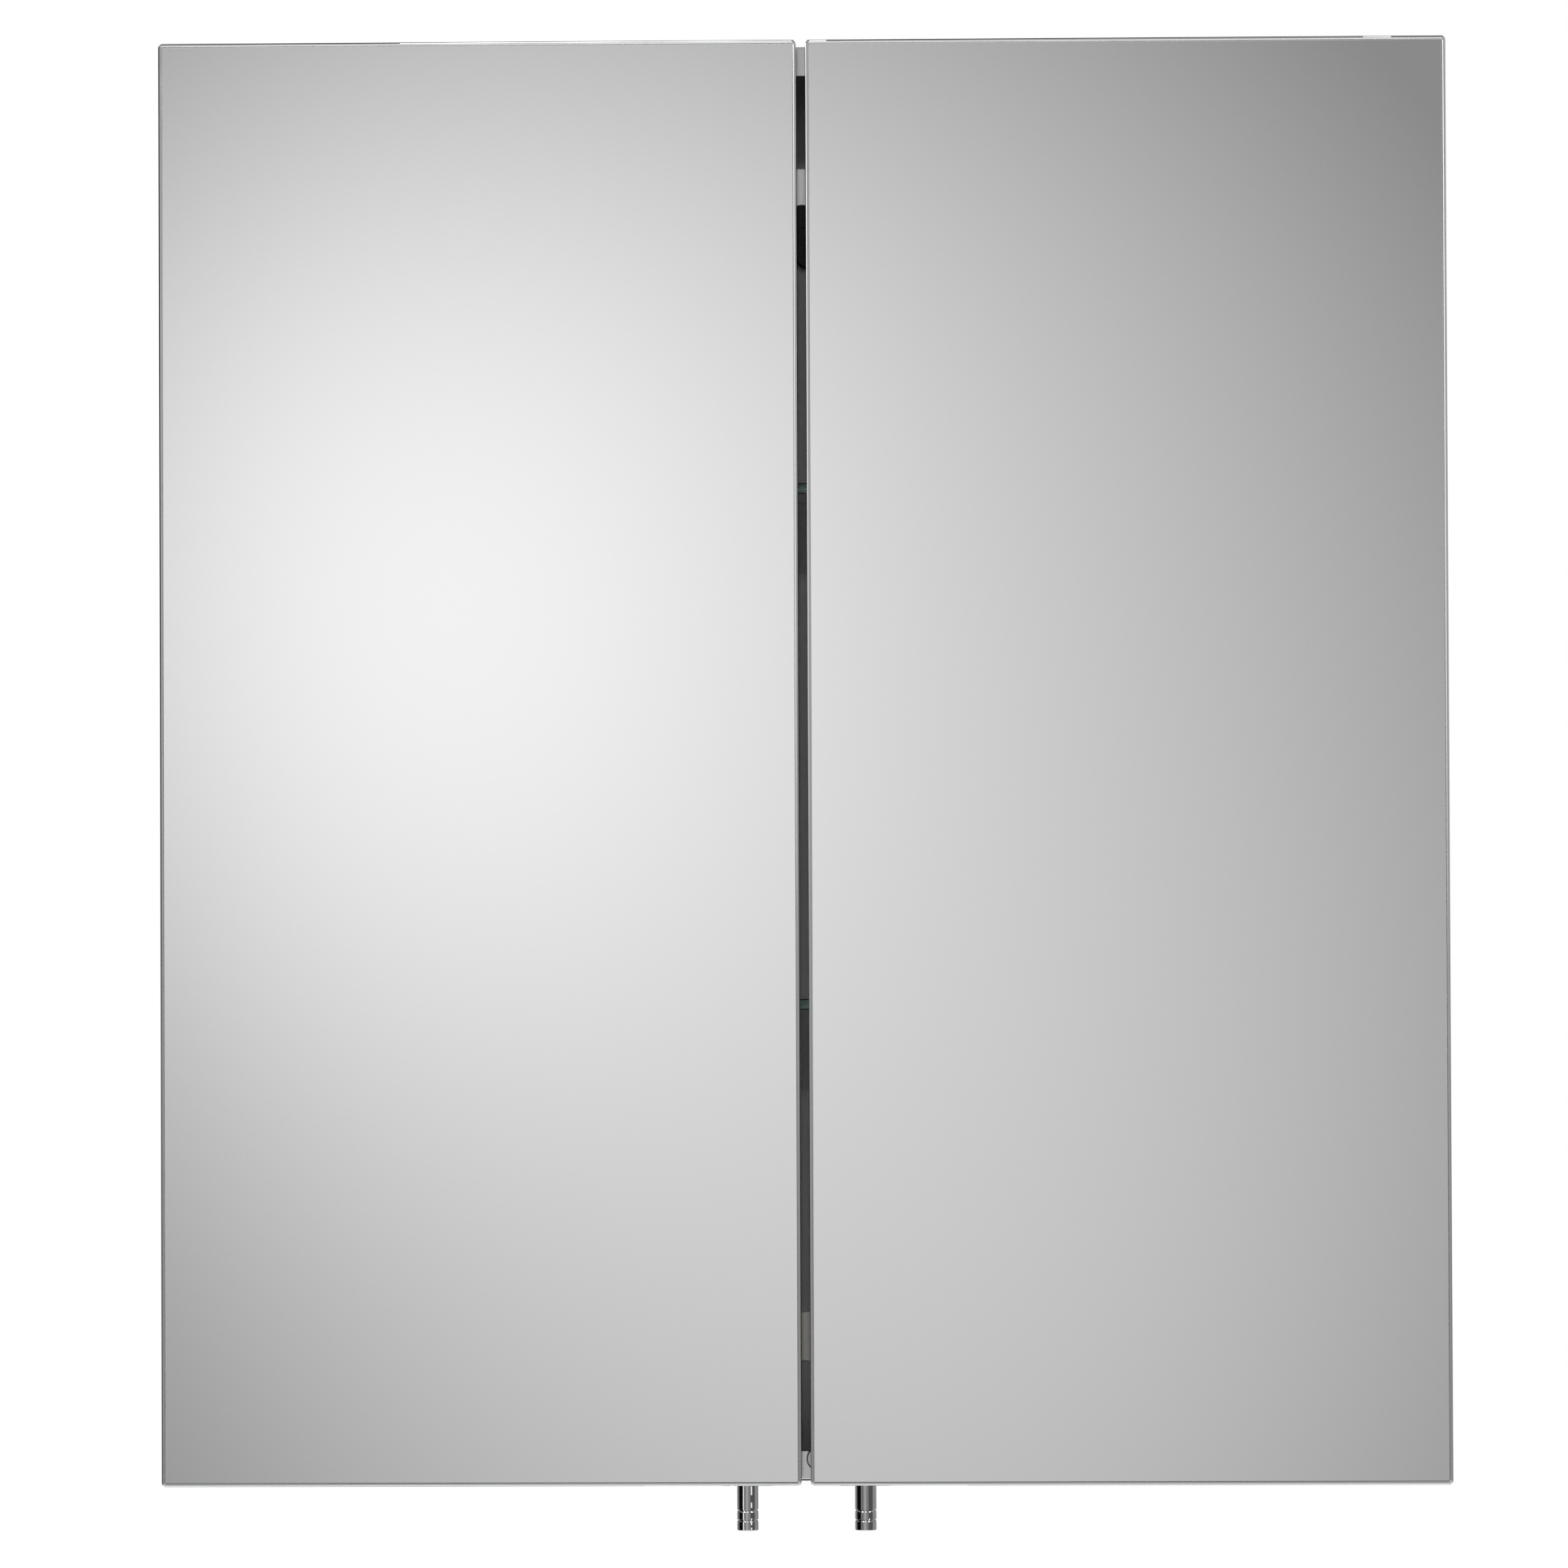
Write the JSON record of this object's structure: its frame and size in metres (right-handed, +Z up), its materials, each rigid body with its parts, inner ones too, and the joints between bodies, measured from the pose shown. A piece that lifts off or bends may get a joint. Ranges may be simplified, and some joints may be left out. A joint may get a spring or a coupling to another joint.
{
  "type": "medicine cabinet with mirror",
  "caption": "Wall-hung stainless bathroom cabinet with mirrored double doors on continuous hinges, glass shelves, knobs below the doors and a locking wall bracket.",
  "frame": {"origin": "midway between the two wall screw holes of the wall bracket, on the wall plane", "axes": "+Y into the wall, +Z up, +X to the right of someone facing the doors"},
  "size_m": [0.6, 0.12, 0.6948],
  "materials": {
    "polished_stainless": "polished",
    "satin_stainless": "satin",
    "mirror": "silvered glass",
    "shelf_glass": "polished edges",
    "chrome": "polished",
    "hinge_steel": "drawn",
    "zinc_steel": "zinc plated",
    "magnet": "nickel plated",
    "black_nylon": "moulded",
    "grey_nylon": "moulded",
    "warm_grey_nylon": "moulded",
    "clear_silicone": "clear",
    "foam_tape": "closed cell"
  },
  "bodies": {
    "cabinet": {"side_panel_left": "polished_stainless", "side_panel_right": "polished_stainless", "top_panel": "polished_stainless", "bottom_panel": "polished_stainless", "back_panel": "satin_stainless", "wall_bracket": "grey_nylon", "lock_pivot": "black_nylon", "wall_spacer": "warm_grey_nylon", "glass_shelf_lower": "shelf_glass", "glass_shelf_upper": "shelf_glass", "shelf_clips_left": "satin_stainless", "shelf_clips_right": "satin_stainless", "shelf_pads_left": "clear_silicone", "shelf_pads_right": "clear_silicone", "hinge_leaf_carcass_left": "hinge_steel", "hinge_leaf_carcass_right": "hinge_steel", "hinge_pin_left": "hinge_steel", "hinge_pin_right": "hinge_steel", "hinge_rivets_carcass_left": "hinge_steel", "hinge_rivets_carcass_right": "hinge_steel", "catch_cups": "black_nylon", "catch_magnets": "magnet", "catch_nuts": "zinc_steel", "door_bumpers": "clear_silicone"},
    "lock_lever": {"lock_lever": "black_nylon"},
    "left_door": {"door_pan_left": "polished_stainless", "door_liner_left": "satin_stainless", "liner_screws_left": "zinc_steel", "door_stiffener_left": "satin_stainless", "mirror_tape_left": "foam_tape", "mirror_glass_left": "mirror", "hinge_leaf_door_left": "hinge_steel", "hinge_rivets_door_left": "hinge_steel", "knob_left": "chrome", "knob_washer_left": "zinc_steel", "knob_screw_left": "zinc_steel", "strike_plate_left": "zinc_steel"},
    "right_door": {"door_pan_right": "polished_stainless", "door_liner_right": "satin_stainless", "liner_screws_right": "zinc_steel", "door_stiffener_right": "satin_stainless", "mirror_tape_right": "foam_tape", "mirror_glass_right": "mirror", "hinge_leaf_door_right": "hinge_steel", "hinge_rivets_door_right": "hinge_steel", "knob_right": "chrome", "knob_washer_right": "zinc_steel", "knob_screw_right": "zinc_steel", "strike_plate_right": "zinc_steel"}
  },
  "joints": [
    {"name": "left_door_swing", "type": "hinge", "parent": "cabinet", "child": "left_door", "pos_m": [-0.29725, -0.0977, -0.255], "axis": [0, 0, -1], "range_deg": [0, 110]},
    {"name": "right_door_swing", "type": "hinge", "parent": "cabinet", "child": "right_door", "pos_m": [0.29725, -0.0977, -0.255], "axis": [0, 0, 1], "range_deg": [0, 110]},
    {"name": "lock_lever_turn", "type": "hinge", "parent": "cabinet", "child": "lock_lever", "pos_m": [0, -0.0163, 0], "axis": [0, -1, 0], "range_deg": [0, 82]}
  ]
}
